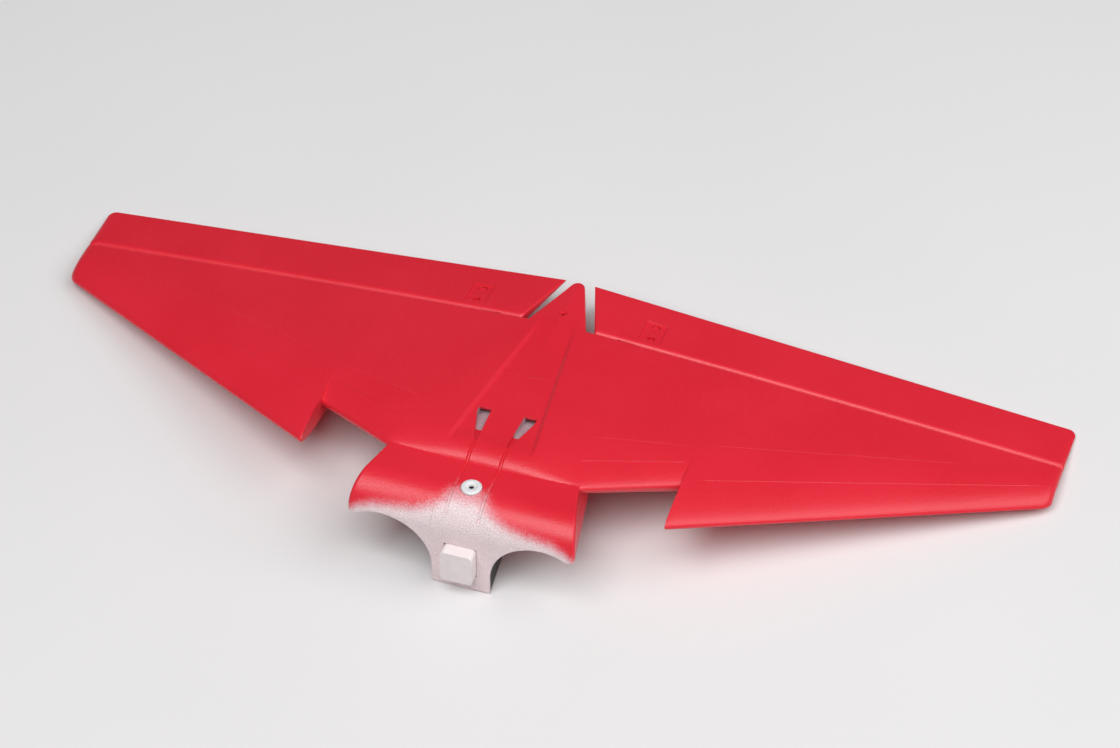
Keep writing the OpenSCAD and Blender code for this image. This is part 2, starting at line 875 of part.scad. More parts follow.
module locating_peg() {
    color(foam_white)
        intersection() {
            peg_block(0);
            span_box([-20, -face_front - peg_out, peg_z - 20], [20, -face_front + peg_in, peg_z + 20]);
        }
}

module peg_socket() {
    intersection() {
        peg_block(slack);
        span_box([-20, -face_front - 20, peg_z - 20], [20, -face_front + peg_in + slack, peg_z + 20]);
    }
}

// Half width of the front body at distance front ahead of the hinge line
function flare(front) = centre_half
    + (flare_x - centre_half) * (front - centre_chord_front) / (face_front - centre_chord_front);

// Thin shell that lines a tunnel and the keel's side, clear of the foam's outer edges
module duct_liner(side) {
    liner_low = -keel_depth + 1.5;
    color(plastic_black)
        on_side(side)
            intersection() {
                difference() {
                    union() {
                        tunnel(1, duct_r + liner_t, liner_front, liner_rear);
                        span_box([keel_half - liner_t, -liner_front, -80],
                            [duct_x, -liner_rear, -duct_depth]);
                    }
                    tunnel(1, duct_r, liner_front + 1, liner_rear - 1);
                    span_box([keel_half, -far, -80], [far, 0, -duct_depth]);
                    span_box([duct_x, -far, -80], [far, 0, 0.5 - arm_low]);
                }
                translate([0, 0, -80])
                    linear_extrude(80)
                        polygon([[0, -liner_front], [flare(liner_front) - 1, -liner_front],
                            [flare(liner_rear) - 1, -liner_rear], [0, -liner_rear]]);
                along_x(far)
                    polygon([[-face_front, liner_low], [-liner_rear, liner_low
                        + (face_front - liner_rear) * tan(keel_slope)], [-liner_rear, 0], [-face_front, 0]]);
            }
}

// ---------------------------------------------------------------- foam nodes

module wing_moulding() {
    color(paint_red)
        difference() {
            union() {
                for (side = [1, -1]) on_side(side) half_blank();
                front_body();
            }
            behind_hinge();
            saddle_recess();
            wiring_bay();
            for (side = [1, -1])
                on_side(side) {
                    wire_opening();
                    wire_groove();
                    spar_channel();
                    rear_spar_slot();
                    hinge_seats();
                    servo_bay();
                    lead_channel();
                    liner_seat(1);
                }
            peg_socket();
            translate([0, front_bolt_y, -80]) cylinder(r = tube_r + slack, h = 100, $fn = smooth);
            translate([0, front_bolt_y, tube_top - slack])
                cylinder(r = washer_r + slack, h = 20, $fn = smooth);
            translate([0, rear_bolt_y, -30]) cylinder(r = sleeve_r + slack, h = 60, $fn = smooth);
        }
}

aileron_in = hinge_x + 0.3;
aileron_in_rear = 10.2;

// Plan of the aileron, with its slanted inner end parallel to the side of the spike
module aileron_plan() {
    polygon([[aileron_in, 0], [aileron_in, -20], [far, -20], [far, 80], [aileron_in_rear, 80],
        [aileron_in_rear, root_rear]]);
}

module aileron(side) {
    nose = 40;
    color(paint_red)
        on_side(side)
            difference() {
                intersection() {
                    half_blank();
                    translate([0, 0, -80]) linear_extrude(160) aileron_plan();
                    hinge_frame()
                        translate([-60, 0, 0])
                            rotate([90, 0, 90])
                                linear_extrude(far)
                                    polygon([[0, 0], [nose * tan(bevel), -nose], [90, -nose],
                                        [90, nose], [nose * tan(bevel), nose]]);
                }
                hinge_seats();
                horn_seat();
            }
}

placed() wing_moulding();
placed() aileron(1);  // left_aileron
placed() aileron(-1);  // right_aileron
placed() spar_tube(1);  // left_spar_tube
placed() spar_tube(-1);  // right_spar_tube
placed() spar_joiner();
placed() rear_spar(1);  // left_rear_spar
placed() rear_spar(-1);  // right_rear_spar
placed() front_bolt_washer();
placed() front_bolt_tube();
placed() rear_bolt_sleeve();
placed() locating_peg();
placed() duct_liner(1);  // left_duct_liner
placed() duct_liner(-1);  // right_duct_liner
placed() servo_case(1);  // left_servo_case
placed() servo_case(-1);  // right_servo_case
placed() servo_shaft(1);  // left_servo_shaft
placed() servo_shaft(-1);  // right_servo_shaft
placed() servo_arm(1);  // left_servo_arm
placed() servo_arm(-1);  // right_servo_arm
placed() arm_screw(1);  // left_arm_screw
placed() arm_screw(-1);  // right_arm_screw
placed() servo_cover(1);  // left_servo_cover
placed() servo_cover(-1);  // right_servo_cover
placed() cover_screws(1);  // left_cover_screws
placed() cover_screws(-1);  // right_cover_screws
placed() servo_lead(1);  // left_servo_lead
placed() servo_lead(-1);  // right_servo_lead
placed() pushrod(1);  // left_pushrod
placed() pushrod(-1);  // right_pushrod
placed() clevis(1);  // left_clevis
placed() clevis(-1);  // right_clevis
placed() control_horn(1);  // left_control_horn
placed() control_horn(-1);  // right_control_horn
placed() hinge_wing_leaves(1);  // left_hinge_wing_leaves
placed() hinge_wing_leaves(-1);  // right_hinge_wing_leaves
placed() hinge_aileron_leaves(1);  // left_hinge_aileron_leaves
placed() hinge_aileron_leaves(-1);  // right_hinge_aileron_leaves
placed() hinge_pins(1);  // left_hinge_pins
placed() hinge_pins(-1);  // right_hinge_pins
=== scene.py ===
"""Looks of a moulded foam jet wing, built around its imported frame.

Shapes are worked out in millimetres in the wing's own axes, whose origin is where the mid-plane
meets the aileron hinge line. place() turns them into metres in the part's frame.
"""
import json
import math

import bmesh
import bpy
import numpy as np
from mathutils import Matrix, Vector


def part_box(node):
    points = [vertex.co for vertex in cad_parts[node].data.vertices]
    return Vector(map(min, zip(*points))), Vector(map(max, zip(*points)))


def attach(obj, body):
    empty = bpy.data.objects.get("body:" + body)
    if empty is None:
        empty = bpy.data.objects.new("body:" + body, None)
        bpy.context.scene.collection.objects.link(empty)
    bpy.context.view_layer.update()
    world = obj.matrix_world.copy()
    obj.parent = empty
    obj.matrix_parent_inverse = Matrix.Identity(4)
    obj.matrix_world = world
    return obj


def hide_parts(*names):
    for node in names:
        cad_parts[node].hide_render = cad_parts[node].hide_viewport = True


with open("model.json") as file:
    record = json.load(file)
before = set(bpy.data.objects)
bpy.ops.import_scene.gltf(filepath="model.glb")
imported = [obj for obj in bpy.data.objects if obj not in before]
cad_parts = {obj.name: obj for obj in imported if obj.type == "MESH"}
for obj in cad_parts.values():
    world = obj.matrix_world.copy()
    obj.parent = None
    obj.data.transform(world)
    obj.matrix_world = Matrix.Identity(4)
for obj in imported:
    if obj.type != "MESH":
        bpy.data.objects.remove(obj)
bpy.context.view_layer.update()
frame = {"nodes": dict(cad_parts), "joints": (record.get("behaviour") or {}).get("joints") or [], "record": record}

MM = 0.001
NODES = frame["nodes"]
HINGE = next(j for j in frame["joints"] if j["name"] == "left_aileron_hinge")
HINGE_AXIS = np.array(HINGE["axis"])
HINGE_X, ORIGIN_Y, HINGE_Z = np.array(HINGE["pos_m"]) / MM
SWEEP = math.atan2(HINGE_AXIS[1], HINGE_AXIS[0])
DROOP_SLOPE = HINGE_AXIS[2] / HINGE_AXIS[0]
HINGE_BACK = np.array([-math.sin(SWEEP), math.cos(SWEEP), 0.0])
HINGE_UP = np.cross(HINGE_AXIS, HINGE_BACK)
SIDES = {"left": 1, "right": -1}

# ------------------------------------------------------------------ shape of the foam

# Lines along the span, as rows of (distance from the mid-plane, y, z)
HALF_SPAN = 341.0
TOOTH_X = 122.0
CROWN = np.array([(0, -122, 7.5), (25, -122, 7.5), (64, -112, 4.6), (TOOTH_X, -86, -1.2),
                  (HALF_SPAN, -6, -27.8)])
BELLY = np.array([(0, -95, -13), (25, -95, -13), (64, -92, -16), (TOOTH_X, -85, -21), (HALF_SPAN, -6, -35.9)])
INNER_EDGE = np.array([(0, -143.5, -1), (64, -143.5, -1), (TOOTH_X, -113.5, -6.6)])
OUTER_EDGE = np.array([(TOOTH_X, -149.5, -10.2), (HALF_SPAN, -27, -35)])
REAR = np.array([(0, 46, -0.3), (HALF_SPAN, 43.5, -29.9)])
EDGE_T = 1.4
TOP_START = 0.12       # share of the chord over which the top skin turns down behind its crown
LOW_START = 0.20
SKIN_BLUR = 12.0       # length over which the crown and belly lines round their corners
EDGE_BLUR = 2.0

HINGE_GAP = 0.8
BEVEL = math.tan(math.radians(30))
EDGE_ROUND = 1.0
NOSE_ROUND = 2.6
SPIKE_HALF = 20.0
SPIKE_START = -1.0
SPIKE_END = 45.0
SPIKE_R = 5.0
TIP_START = 336.0
TIP_CENTRE_Y = 4.0
TIP_SHRINK = 0.14
TIP_THIN = 0.72

NOSE_R = 22.0
PLATE_Z = 1.5
FACE_Y = -187.5
PLATE_FRONT = FACE_Y + NOSE_R
CREASE_Y = -143.5
CREASE_Z = PLATE_Z - 0.6
KEEL_HALF = 19.5
KEEL_LOW = -66.0
KEEL_RISE = math.tan(math.radians(22))
KEEL_REAR = -130.0
DUCT_R = 34.0
DUCT_X = KEEL_HALF + DUCT_R
DUCT_Z = -52.5
ARM_LOW = -22.5
ARM_REAR = -150.0
BODY_REAR = (-112.0, -12.0)
WING_HALF_BODY = 64.0
FLARE_X = 75.5
BODY_ROUND = 2.4
KEEL_ROUND = 1.4
KEEL_GAP = 0.02
LIP_ROUND = 1.1
PLATE_REAR = -118.0
FLARE_START = 60.0
LINER_T = 0.8


def along(rows, x, blur):
    """y and z at distance x from the mid-plane on the line through rows, its corners rounded over blur."""
    spread = np.abs(np.abs(np.asarray(x, float))[..., None] + np.linspace(-blur, blur, 13))
    i = np.clip(np.searchsorted(rows[:, 0], spread, side="right") - 1, 0, len(rows) - 2)
    t = (spread - rows[i, 0]) / (rows[i + 1, 0] - rows[i, 0])
    return [(rows[i, k] + (rows[i + 1, k] - rows[i, k]) * t).mean(-1) for k in (1, 2)]


def skin(x, y, low=False, outer=1.0):
    """Height of the top or low skin at x, y. outer is 0 or 1 for the inner or outer leading edge."""
    edges = [along(rows, x, EDGE_BLUR) for rows in (INNER_EDGE, OUTER_EDGE)]
    edge_y, edge_z = [a + (b - a) * outer for a, b in zip(*edges)]
    peak_y, peak_z = along(BELLY if low else CROWN, x, SKIN_BLUR)
    rear_y, rear_z = along(REAR, x, 0)
    if low:
        rear_z = rear_z - EDGE_T
    start = LOW_START if low else TOP_START
    ahead = np.clip((peak_y - y) / (peak_y - edge_y), 0, 1)
    behind = np.clip((y - peak_y) / (rear_y - peak_y), 0, None)
    fall = (np.hypot(behind, start) - start) / (math.hypot(1, start) - start)
    return np.where(y < peak_y, edge_z + (peak_z - edge_z) * np.sqrt(1 - ahead ** 2),
                    peak_z + (rear_z - peak_z) * fall)


def smooth_step(low, high, value):
    t = np.clip((value - low) / (high - low), 0, 1)
    return t * t * (3 - 2 * t)


SADDLE_DEPTH = 1.8
SADDLE_FRONT = (-128.0, 27.5)
SADDLE_REAR = (-5.0, 12.5)
SADDLE_SOFT = 1.6
SADDLE_FADE = 26.0


def saddle(x, y):
    """Depth of the shallow recess on the centre section, which narrows to the tail and fades at both ends."""
    slope = (SADDLE_REAR[1] - SADDLE_FRONT[1]) / (SADDLE_REAR[0] - SADDLE_FRONT[0])
    half = SADDLE_FRONT[1] + slope * (y - SADDLE_FRONT[0])
    across = smooth_step(SADDLE_SOFT, -SADDLE_SOFT, np.abs(x) - half)
    rear = smooth_step(SADDLE_REAR[0] + SADDLE_FADE / 2, SADDLE_REAR[0] - SADDLE_FADE, y)
    front = smooth_step(SADDLE_FRONT[0] - 8, SADDLE_FRONT[0] + 10, y)
    return SADDLE_DEPTH * across * rear * front


def rear_end(x):
    """y of the fixed foam's rear boundary at x, and its slope: the hinge gap, or the outline of the spike."""
    x = abs(x)
    if x >= SPIKE_HALF:
        return (x - HINGE_X) * math.tan(SWEEP) - HINGE_GAP, math.tan(SWEEP)
    centre_y = SPIKE_END - SPIKE_R
    reach = math.hypot(SPIKE_HALF, centre_y - SPIKE_START)
    angle = math.atan2(centre_y - SPIKE_START, -SPIKE_HALF) - math.asin(SPIKE_R / reach)
    touch_x = SPIKE_HALF + math.sqrt(reach ** 2 - SPIKE_R ** 2) * math.cos(angle)
    if x > touch_x:
        return SPIKE_START + math.tan(angle) * (x - SPIKE_HALF), math.tan(angle)
    return centre_y + math.sqrt(SPIKE_R ** 2 - x ** 2), -x / math.sqrt(SPIKE_R ** 2 - x ** 2)


# ------------------------------------------------------------------ mesh helpers

def place(points):
    """Wing axes in millimetres to the part's frame in metres."""
    return (np.asarray(points, float) + (0, ORIGIN_Y, 0)) * MM


def from_hinge(points, side=1):
    """Points given along the hinge axis (u out, v back, w up) as wing axes."""
    u, v, w = np.asarray(points, float).T
    out = u[:, None] * HINGE_AXIS + v[:, None] * HINGE_BACK + w[:, None] * HINGE_UP + (HINGE_X, 0, HINGE_Z)
    return out * (side, 1, 1)


def to_hinge(node):
    """Vertices of a left-hand CAD node along the hinge axis."""
    points = np.array([v.co for v in NODES[node].data.vertices]) / MM - (HINGE_X, ORIGIN_Y, HINGE_Z)
    return points @ np.stack([HINGE_AXIS, HINGE_BACK, HINGE_UP], 1)


def new_mesh(name, points, faces):
    """Object with outward normals from points in wing axes."""
    mesh = bpy.data.meshes.new(name)
    mesh.from_pydata(place(points).tolist(), [], faces)
    work = bmesh.new()
    work.from_mesh(mesh)
    bmesh.ops.recalc_face_normals(work, faces=work.faces)
    work.to_mesh(mesh)
    work.free()
    piece = bpy.data.objects.new(name, mesh)
    bpy.context.scene.collection.objects.link(piece)
    return piece


def loft(name, rings):
    """Closed solid through rings of equal length, with a flat cap at each end."""
    rings = np.asarray(rings, float)
    count, size = rings.shape[:2]
    faces = [[i * size + j, i * size + (j + 1) % size, (i + 1) * size + (j + 1) % size, (i + 1) * size + j]
             for i in range(count - 1) for j in range(size)]
    faces += [list(range(size)), [(count - 1) * size + j for j in range(size)][::-1]]
    return new_mesh(name, rings.reshape(-1, 3), faces)


def block(low, high, to_wing=np.asarray, side=1):
    """Box cutter between two corners, given in any frame that to_wing turns into wing axes."""
    corners = np.array([[(low, high)[(n >> k) & 1][k] for k in range(3)] for n in (0, 1, 3, 2, 4, 5, 7, 6)])
    corners = to_wing(corners) * (side, 1, 1)
    return loft("cutter", [corners[:4], corners[4:]])


def drum(start, end, radius, sides=48):
    """Round cutter between two points in wing axes."""
    start, end = np.asarray(start, float), np.asarray(end, float)
    along_it = (end - start) / np.linalg.norm(end - start)
    across = np.cross(along_it, (0, 0, 1) if abs(along_it[2]) < 0.9 else (1, 0, 0))
    across /= np.linalg.norm(across)
    other = np.cross(along_it, across)
    angles = np.linspace(0, 2 * math.pi, sides, endpoint=False)
    ring = radius * (np.cos(angles)[:, None] * across + np.sin(angles)[:, None] * other)
    return loft("cutter", [start + ring, end + ring])


def bake(piece):
    """Turns a piece's modifiers into its mesh."""
    graph = bpy.context.evaluated_depsgraph_get()
    mesh = bpy.data.meshes.new_from_object(piece.evaluated_get(graph))
    piece.modifiers.clear()
    piece.data = mesh


def combine(piece, others, operation):
    """Joins solids to a piece, or cuts them from it, and removes them."""
    for other in others:
        modifier = piece.modifiers.new("combine", "BOOLEAN")
        modifier.object = other
        modifier.operation = operation
        modifier.solver = "MANIFOLD"
    bake(piece)
    for other in others:
        bpy.data.objects.remove(other)


def cut(piece, cutters):
    """Cuts several overlapping cutters from a piece in one pass."""
    combine(cutters[0], cutters[1:], "UNION")
    combine(piece, [cutters[0]], "DIFFERENCE")


def finish_foam(piece, node, body):
    """Soft shading with crisp edges kept, and the CAD node that the piece stands for."""
    for polygon in piece.data.polygons:
        polygon.use_smooth = True
    piece.data.set_sharp_from_angle(angle=math.radians(38))
    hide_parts(node)
    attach(piece, body)
    return piece


# ------------------------------------------------------------------ wing foam

def tip_thinning(x):
    """Share of the chord and of the thickness that is left at x, near the rounded tip."""
    beyond = np.clip(np.abs(x) - TIP_START, 0, None) / (HALF_SPAN - TIP_START)
    lean = np.sqrt(np.clip(1 - beyond ** 2, 0, 1))
    return 1 - TIP_SHRINK * (1 - lean), 1 - TIP_THIN * (1 - lean)


def round_tip(ring, outer=1.0):
    """Pulls a ring near the tip in towards its middle."""
    x, y, z = ring.T
    chord, thick = tip_thinning(x)
    middle = (skin(x, y, False, outer) + skin(x, y, True, outer)) / 2
    return np.column_stack([x, TIP_CENTRE_Y + (y - TIP_CENTRE_Y) * chord, middle + (z - middle) * thick])


TOP_STEPS = 120
LOW_STEPS = 60
NOSE_STEPS = 26
ROUND_STEPS = 5


def wing_ring(x, outer):
    """Closed section of the fixed foam at x."""
    edges = [along(rows, x, EDGE_BLUR) for rows in (INNER_EDGE, OUTER_EDGE)]
    edge_y = float(edges[0][0] + (edges[1][0] - edges[0][0]) * outer)
    end_y, slope = rear_end(x)
    thickness = float(skin(x, end_y, False, outer) - skin(x, end_y, True, outer))
    corner_z = min(EDGE_ROUND, 0.42 * thickness)
    corner_y = min(corner_z * math.hypot(1, slope), 4)
    turn = np.linspace(0, math.pi / 2, ROUND_STEPS)
    halves = []
    for low, steps in ((False, TOP_STEPS), (True, LOW_STEPS)):
        peak_y = float(along(BELLY if low else CROWN, x, SKIN_BLUR)[0])
        corner = end_y - corner_y + corner_y * np.cos(turn)
        back = np.linspace(end_y - corner_y, peak_y, steps)[1:]
        nose = peak_y - (peak_y - edge_y) * np.sin(np.linspace(0, math.pi / 2, NOSE_STEPS))[1:]
        y = np.concatenate([corner, back, nose])
        z = skin(x, y, low, outer)
        if not low:
            z = z - saddle(x, y)
        inset = np.zeros(len(y))
        inset[:ROUND_STEPS] = corner_z * (1 - np.sin(turn))
        halves.append(np.column_stack([np.full(len(y), x), y, z + (inset if low else -inset)]))
    return round_tip(np.concatenate([halves[0], halves[1][-2::-1]]), outer)


def tip_stations():
    """Distances from the mid-plane over the rounded tip, each with a share of 1."""
    turns = (15, 30, 45, 60, 72, 82, 90)
    return [(TIP_START + (HALF_SPAN - TIP_START) * math.sin(math.radians(a)), 1) for a in turns]


def wing_stations():
    """Distances from the mid-plane with the share of the outer panel's leading edge, from the root out."""
    centre = [(x, 0) for x in np.concatenate([np.arange(0, 12, 1.0), np.arange(12, 30, 0.5)])]
    inner = [(x, 0) for x in np.linspace(30, TOOTH_X - 0.3, 42)]
    tooth = [(TOOTH_X + d, 1 - 0.022 * (1 - math.sin(math.pi / 2 * d / 0.9))) for d in (0, 0.15, 0.4, 0.9)]
    outer = [(x, 1) for x in np.linspace(TOOTH_X + 3.5, TIP_START, 66)]
    return centre + inner + tooth + outer + tip_stations()


def flare(y):
    """Half width of the front body at y."""
    share = np.clip((CREASE_Y - y) / (CREASE_Y - FACE_Y), 0, 1)
    return WING_HALF_BODY + (FLARE_X - WING_HALF_BODY) * share


def arch(x):
    """Height of the front body's underside at x: the duct tunnels, and the flat ends of the arms."""
    away = np.clip(np.abs(x) - DUCT_X, -DUCT_R, DUCT_R)
    z = DUCT_Z + np.sqrt(np.clip(DUCT_R ** 2 - away ** 2, 0, None))
    return np.where(np.abs(x) > DUCT_X, np.maximum(z, ARM_LOW), z)


def body_ring(x, keel):
    """Closed section of the front body at x, which is given at the front face."""
    bound = math.copysign(1, x) if x else 1
    edge_gap = (KEEL_HALF if keel else FLARE_X) - abs(x)
    corner = KEEL_ROUND if keel else BODY_ROUND
    near = max(corner - edge_gap, 0)
    inset = corner - math.sqrt(max(corner ** 2 - near ** 2, 0))

    def across(y):
        slide = np.clip((abs(x) - FLARE_START) / (FLARE_X - FLARE_START), 0, 1)
        return bound * (abs(x) + slide * (flare(y) - FLARE_X))

    low_front = (KEEL_LOW if keel else float(arch(x))) + (inset if keel else 0)
    stop = low_front + LIP_ROUND
    arc_z = PLATE_Z - NOSE_R
    turn_end = math.asin(np.clip((stop - arc_z) / NOSE_R, 0, 1))
    arc_length = NOSE_R * (math.pi / 2 - turn_end)
    face_length = max(arc_z - stop, 0)
    travel = np.linspace(0, arc_length + face_length, 40)
    angle = math.pi / 2 - np.minimum(travel, arc_length) / NOSE_R
    front_y = PLATE_FRONT - NOSE_R * np.cos(angle)
    front_z = arc_z + NOSE_R * np.sin(angle) - np.maximum(travel - arc_length, 0)
    plate_y = np.linspace(PLATE_REAR, PLATE_FRONT, 16)[:-1]
    plate_z = np.interp(plate_y, [PLATE_FRONT, CREASE_Y, PLATE_REAR], [PLATE_Z, CREASE_Z, 0])
    lip = np.linspace(0, math.pi / 2, 6)[1:]
    lip_y = front_y[-1] + LIP_ROUND * (1 - np.cos(lip))
    lip_z = stop - LIP_ROUND * np.sin(lip)
    rear_y = KEEL_REAR if keel else ARM_REAR
    under_y = np.linspace(lip_y[-1], rear_y, 14)[1:]
    if keel:
        under_z = low_front + KEEL_RISE * (under_y - lip_y[-1])
        close = [(KEEL_REAR + 0.5, -10.0)]
    else:
        under_z = arch(across(under_y)) if abs(x) > FLARE_START else np.full(len(under_y), float(arch(x)))
        close = [BODY_REAR]
    y = np.concatenate([plate_y, front_y, lip_y, under_y, [c[0] for c in close]])
    z = np.concatenate([plate_z, front_z, lip_z, under_z, [c[1] for c in close]])
    ring = np.column_stack([across(y), y, z])
    if not keel and inset:
        middle = (ring.max(0) + ring.min(0)) / 2
        half = (ring.max(0) - ring.min(0)) / 2
        share = 1 - inset / half[1:]
        ring[:, 1:] = middle[1:] + (ring[:, 1:] - middle[1:]) * share
    return ring


def front_body():
    """Plate, roll-over, front face, arms over the tunnels and the keel between them."""
    ends = FLARE_X - BODY_ROUND * (1 - np.sin(np.linspace(0, math.pi / 2, 6)))
    arm_turn = np.arccos((DUCT_X - (FLARE_X - BODY_ROUND)) / DUCT_R)
    arm = DUCT_X - DUCT_R * np.cos(np.linspace(0, arm_turn, 46))
    side = [(float(x), False) for x in np.concatenate([arm[:-1], ends])]
    keel_end = KEEL_HALF - KEEL_GAP
    keel_corner = keel_end - KEEL_ROUND * (1 - np.sin(np.linspace(0, math.pi / 2, 6)))
    keel_flat = np.linspace(0, keel_end - KEEL_ROUND, 10)[:-1]
    keel = [(float(x), True) for x in np.concatenate([keel_flat, keel_corner])]
    half = keel + side
    both = [(-x, k) for x, k in half[:0:-1]] + half
    return loft("front_body", [body_ring(x, k) for x, k in both])


BAY_HALF = 24.0
BAY_FRONT = -92.0
BAY_TOP = 0.8
# Wire opening: y, inner x, outer x and floor height of its ramp from the surface down to the bay
RAMP = [(-127, 10.0, 12.0, 5.0), (-115, 10.46, 15.46, 2.6), (-102, 10.97, 19.2, 0.0), (-96, 11.2, 19.7, -1.2)]
RAMP_END = [(-96.5, 11.2, 19.7, -1.1), (-92, 11.2, 19.7, -2.0), (-88, 11.2, 19.7, -2.0)]
RAMP_ROOF = 40.0
BRIDGE_LOW = 3.1
GROOVE_X = 11.0
GROOVE_W = 2.0
GROOVE_DEPTH = 1.7


def groove(side):
    """Cutter for the narrow wire groove that follows the surface over the front body."""
    turn = np.radians(np.linspace(90, 148, 14))
    arc = [(PLATE_FRONT + NOSE_R * math.cos(a), PLATE_Z - NOSE_R + NOSE_R * math.sin(a), a) for a in turn]
    nose = [(y, float(skin(GROOVE_X, y, False, 0)), math.pi / 2) for y in np.linspace(-124, -141, 12)]
    path = nose + [(CREASE_Y, CREASE_Z + 0.2, math.pi / 2)] + arc
    rings = []
    for y, z, a in path:
        out = np.array([0, math.cos(a), math.sin(a)])
        base = np.array([side * GROOVE_X, y, z])
        profile = [(-1.6, 4), (-1.3, 0), (-0.8, -0.5), (-0.5, -1), (0.5, -1), (0.8, -0.5), (1.3, 0), (1.6, 4)]
        rings.append([base + np.array([p * GROOVE_W / 2, 0, 0]) + out * q * GROOVE_DEPTH for p, q in profile])
    return loft("cutter", rings)


def ramp_cutters(side):
    """Cutters for a wire opening: its open wedge, then the run under the bridge into the bay."""
    pieces = []
    for rows, roof in ((RAMP, RAMP_ROOF), (RAMP_END, BRIDGE_LOW)):
        rings = []
        for y, near, far, low in rows:
            a, b = side * near, side * far
            rings.append([(a, y, low), (b, y, low), (b, y, roof), (a, y, roof)])
        pieces.append(loft("cutter", rings))
    return pieces


def node_box(node, pad=0.0):
    """Lowest and highest corner of a CAD node in wing axes, grown by pad."""
    low, high = [np.array(c) / MM - (0, ORIGIN_Y, 0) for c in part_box(node)]
    return low - pad, high + pad


def centre_cutters():
    """Seats and holes of the fittings on the mid-plane, and the wiring bay."""
    low, high = node_box("front_bolt_washer")
    washer = (low + high) / 2
    tube_r = (node_box("front_bolt_tube")[1] - node_box("front_bolt_tube")[0])[0] / 2
    sleeve_low, sleeve_high = node_box("rear_bolt_sleeve")
    sleeve = (sleeve_low + sleeve_high) / 2
    peg_low, peg_high = node_box("locating_peg", 0.15)
    cutters = [
        drum((0, washer[1], low[2] - 0.15), (0, washer[1], 20), (high - low)[0] / 2 + 0.25, 64),
        drum((0, washer[1], -80), (0, washer[1], 20), tube_r + 0.1),
        drum((0, sleeve[1], -30), (0, sleeve[1], 30), (sleeve_high - sleeve_low)[0] / 2 + 0.1),
        block(peg_low - (0, 10, 0), peg_high),
        block((-BAY_HALF, BAY_FRONT, -40), (BAY_HALF, -58, BAY_TOP)),
    ]
    return cutters


def tunnel_cutters(side):
    """Seat of the duct liner in the tunnel's roof and on the keel's side."""
    low, high = node_box("left_duct_liner", 0.1)
    start, end = (side * DUCT_X, low[1], DUCT_Z), (side * DUCT_X, high[1], DUCT_Z)
    return [drum(start, end, DUCT_R + LINER_T + 0.05, 128),
            block((KEEL_HALF - LINER_T - 0.1, low[1], -80), (KEEL_HALF + 6, high[1], DUCT_Z), side=side)]


SERVO_PAD = 0.3
LEAD_START = np.array([30, -86, -9.5])
LEAD_DROOP = math.radians(4.3)


def from_lead(points):
    """Points along the servo lead's channel as wing axes."""
    u, v, w = np.asarray(points, float).T
    return np.column_stack([u * math.cos(LEAD_DROOP) + w * math.sin(LEAD_DROOP), v,
                            w * math.cos(LEAD_DROOP) - u * math.sin(LEAD_DROOP)]) + LEAD_START


def linkage_cutters(side):
    """Bays for the servo, its arm, its cover and its lead in the underside."""
    case, cover, arm = [to_hinge(f"left_{n}") for n in ("servo_case", "servo_cover", "servo_arm")]
    case_low, case_high = case.min(0) - SERVO_PAD, case.max(0) + SERVO_PAD
    cover_low, cover_high = cover.min(0) - 0.15, cover.max(0) + 0.15
    shaft_v = arm[:, 1].mean()
    hinge = dict(to_wing=from_hinge, side=side)
    lead = dict(to_wing=from_lead, side=side)
    return [
        block((case_low[0], case_low[1], -30), case_high, **hinge),
        block((arm[:, 0].min() - 5, shaft_v - 9.5, -30),
              (arm[:, 0].max() + 6, shaft_v + 9.5, arm[:, 2].max() + 0.6), **hinge),
        block((cover_low[0], cover_low[1], -40), (cover_high[0], cover_high[1], cover_high[2]), **hinge),
        block((-7, -4.6, -30), (16, 4.6, 1.9), **lead),
        block((14, -2.3, -30), (56.6, 2.3, 1.1), **lead),
        block((52, 0, -30), (56.6, 32.8, 1.1), **lead),
    ]


HINGE_PLACES = (22, 150, 285)
KNUCKLE_R = 1.7


def hinge_cutters(side):
    """Slot and knuckle notch of each hinge."""
    cutters = []
    for u in HINGE_PLACES:
        cutters.append(drum(*[from_hinge([(u + d, 0, 0)], side)[0] for d in (-6, 6)], KNUCKLE_R, 24))
        cutters.append(block((u - 5.2, -9.7, -0.7), (u + 5.2, 9.7, 0.7), from_hinge, side))
    return cutters


def spar_cutters(side):
    strip = to_hinge("left_rear_spar")
    low, high = strip.min(0) - 0.15, strip.max(0) + 0.15
    tube = np.array([v.co for v in NODES["left_spar_tube"].data.vertices]) / MM - (0, ORIGIN_Y, 0)
    limits = (tube[:, 0].min(), tube[:, 0].max())
    ends = [tube[np.abs(tube[:, 0] - x) < 2].mean(0) * (side, 1, 1) for x in limits]
    return [block((low[0], low[1], -14), high, from_hinge, side), drum(ends[0], ends[1], 3.15)]


def ridge(points, width=0.7, height=0.14, sink=0.5, side=1):
    """Thin raised line on the top skin through points in x, y."""
    points = np.asarray(points, float)
    length = np.linalg.norm(np.diff(points, axis=0), axis=1).sum()
    t = np.linspace(0, 1, max(int(length / 3), 6))
    path = np.column_stack([np.interp(t, np.linspace(0, 1, len(points)), points[:, k]) for k in (0, 1)])
    heading = np.gradient(path, axis=0)
    heading /= np.linalg.norm(heading, axis=1)[:, None]
    aside = np.column_stack([-heading[:, 1], heading[:, 0]])
    fade = np.minimum(1, np.minimum(t, 1 - t) * 12)
    rings = []
    for p, n, f in zip(path, aside, fade):
        ring = []
        for across, up in ((-1, -1), (-1, 0), (-0.45, 1), (0.45, 1), (1, 0), (1, -1)):
            x, y = p + n * across * width / 2
            outer = 1.0 if abs(x) > TOOTH_X else 0.0
            z = float(skin(x, y, False, outer) - saddle(x, y)) + (height * up * f if up > 0 else sink * up)
            ring.append((side * x, y, z))
        rings.append(ring)
    return loft("ridge", rings)


